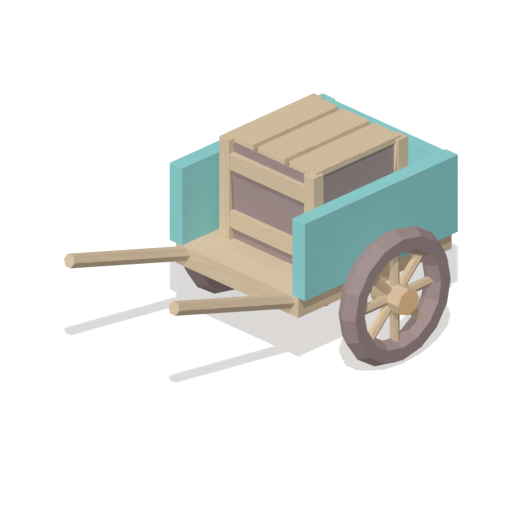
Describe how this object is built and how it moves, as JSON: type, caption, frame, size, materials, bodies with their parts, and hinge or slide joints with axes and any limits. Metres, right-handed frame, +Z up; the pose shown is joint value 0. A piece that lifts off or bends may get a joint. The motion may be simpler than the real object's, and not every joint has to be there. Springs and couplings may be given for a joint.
{
  "type": "hand cart",
  "caption": "Timber hand cart with spoked wheels, pulling shafts, high side boards, a lift-out tailboard, and a square panelled crate with a plank lid.",
  "frame": {"origin": "on the ground, at the middle of the overall length and width", "axes": "+X points forward along the shafts, +Y to the cart's left, +Z up"},
  "size_m": [1.7198, 1.1994, 0.9735],
  "materials": {
    "timber": "planed and waxed pale timber",
    "timber_dark": "bare brown timber",
    "paint_teal": "chalky blue-green paint on planed timber",
    "paint_mauve": "chalky grey-mauve paint on timber",
    "iron": "dark forged iron",
    "bronze": "turned bronze"
  },
  "bodies": {
    "cart": {"front_rail": "timber", "rear_rail": "timber", "sill_left": "timber", "sill_right": "timber", "bearer_front": "timber_dark", "bearer_mid": "timber_dark", "bearer_rear": "timber_dark", "floor_boards": "timber", "side_board_left": "paint_teal", "side_board_right": "paint_teal", "side_board_screws": "iron", "side_board_washers": "iron", "shaft_left": "timber", "shaft_right": "timber", "shaft_pegs": "timber_dark", "frame_pegs": "timber_dark", "axle": "iron", "axle_straps": "iron", "axle_strap_screws": "iron", "axle_inner_washers": "iron", "axle_outer_washers": "iron", "axle_nuts": "iron"},
    "wheel_left": {"hub_left": "timber", "hub_bushes_left": "bronze", "hub_cap_left": "timber", "spokes_left": "timber", "felloes_left": "paint_mauve", "felloe_dowels_left": "timber_dark"},
    "wheel_right": {"hub_right": "timber", "hub_bushes_right": "bronze", "hub_cap_right": "timber", "spokes_right": "timber", "felloes_right": "paint_mauve", "felloe_dowels_right": "timber_dark"},
    "tailboard": {"tail_rail_top": "paint_teal", "tail_rail_low": "paint_teal", "tail_stile_left": "paint_teal", "tail_stile_right": "paint_teal", "tail_panel": "paint_teal"},
    "crate": {"post_front_left": "timber", "post_front_right": "timber", "post_rear_left": "timber", "post_rear_right": "timber", "batten_front_low": "timber", "batten_front_high": "timber", "batten_rear_low": "timber", "batten_rear_high": "timber", "panel_front": "paint_mauve", "panel_rear": "paint_mauve", "panel_left": "paint_mauve", "panel_right": "paint_mauve", "crate_floor": "timber_dark"},
    "crate_lid": {"lid_plank_left": "timber", "lid_plank_middle": "timber", "lid_plank_right": "timber", "lid_cleat_front": "timber_dark", "lid_cleat_rear": "timber_dark", "lid_screws": "iron"}
  },
  "joints": [
    {"name": "wheel_left_spin", "type": "hinge", "parent": "cart", "child": "wheel_left", "pos_m": [-0.37689, 0.50969, 0.335], "axis": [0, 1, 0], "continuous": true},
    {"name": "wheel_right_spin", "type": "hinge", "parent": "cart", "child": "wheel_right", "pos_m": [-0.37689, -0.50969, 0.335], "axis": [0, 1, 0], "continuous": true},
    {"name": "tailboard_lift", "type": "slide", "parent": "cart", "child": "tailboard", "axis": [0, 0, 1], "range_m": [0, 0.41]},
    {"name": "crate_lift", "type": "slide", "parent": "cart", "child": "crate", "axis": [0, 0, 1], "range_m": [0, 0.45]},
    {"name": "lid_lift", "type": "slide", "parent": "crate", "child": "crate_lid", "axis": [0, 0, 1], "range_m": [0, 0.3]}
  ]
}
